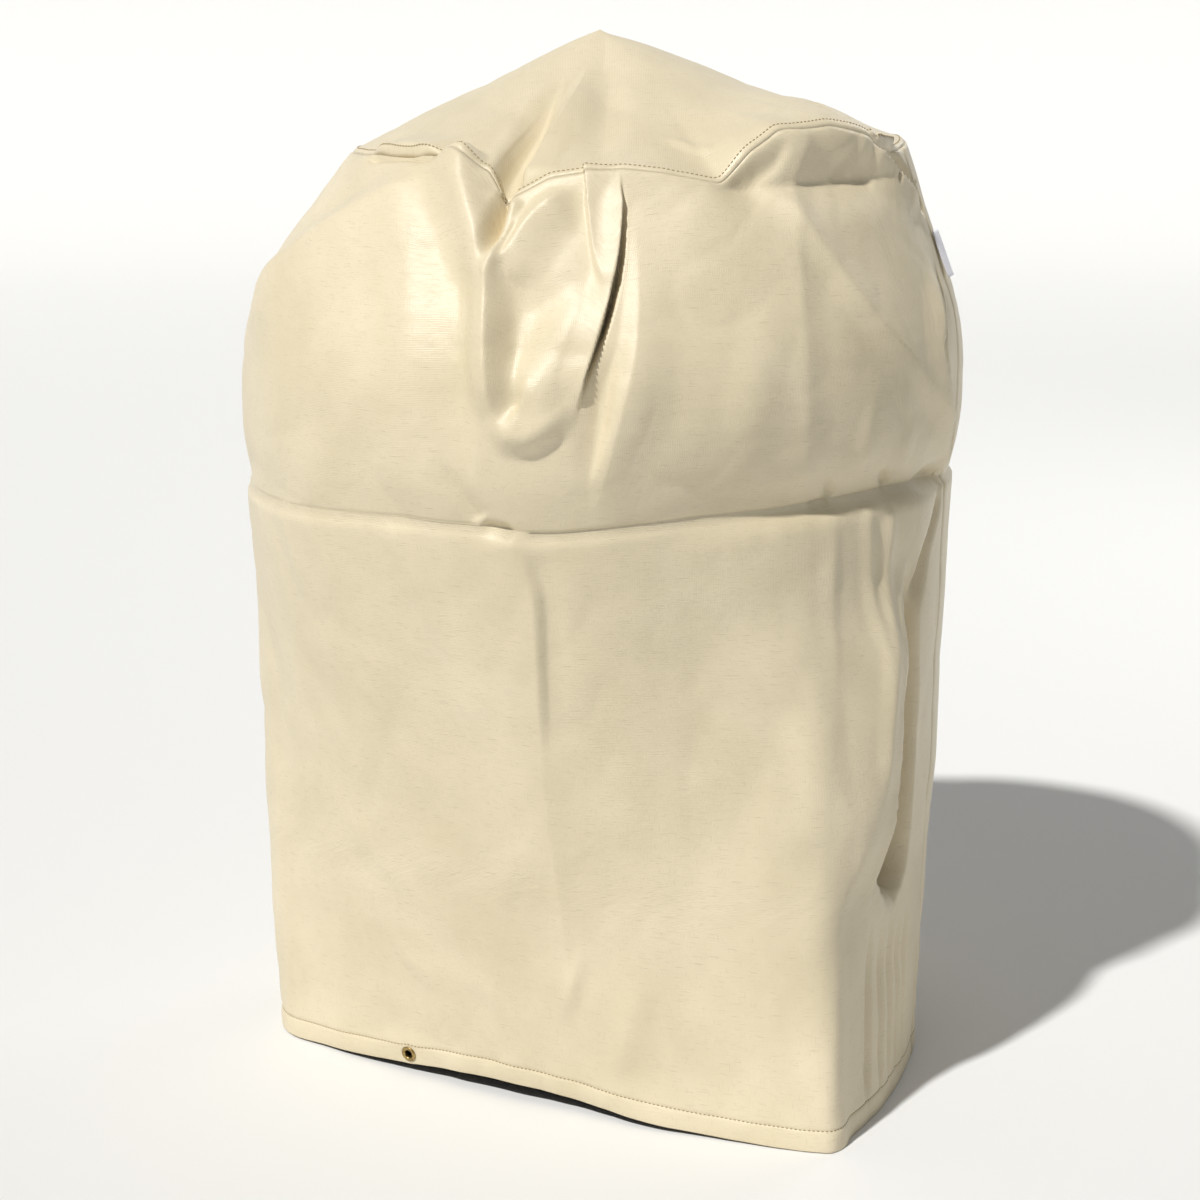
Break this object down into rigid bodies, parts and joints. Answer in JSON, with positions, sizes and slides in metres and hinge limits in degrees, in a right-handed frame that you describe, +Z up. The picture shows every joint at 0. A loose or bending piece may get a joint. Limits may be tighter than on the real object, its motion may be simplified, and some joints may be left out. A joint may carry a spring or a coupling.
{
  "type": "kettle grill cover",
  "caption": "Cream woven cover for a round kettle grill: peaked top panel, wall of two panels, stitched hem with grommets, sewn-in label.",
  "frame": {"origin": "on the ground under the middle of the whole cover's bounding box", "axes": "+Z up, -Y towards the front of the cover as the picture sees it, +X to its right"},
  "size_m": [0.7418, 0.728, 1.07],
  "materials": {
    "cloth": "coated plain weave, slightly satin, with slubs and shipping creases",
    "tape": "matt ribbed binding tape",
    "brass": "dull brass with darker worn edges",
    "label": "smooth white satin, blank"
  },
  "bodies": {
    "cover": {"top_panel": "cloth", "front_wall": "cloth", "back_wall": "cloth", "top_seam_tape": "tape", "right_seam_tape": "tape", "left_seam_tape": "tape", "grommet_front_left": "brass", "washer_front_left": "brass", "grommet_back_right": "brass", "washer_back_right": "brass"},
    "label": {"care_label": "label"}
  },
  "joints": [
    {"name": "label_flap", "type": "hinge", "parent": "cover", "child": "label", "pos_m": [0.34243, -0.09855, 0.83028], "axis": [-0.3577, 0.0958, 0.9289], "range_deg": [-150, 3]}
  ]
}
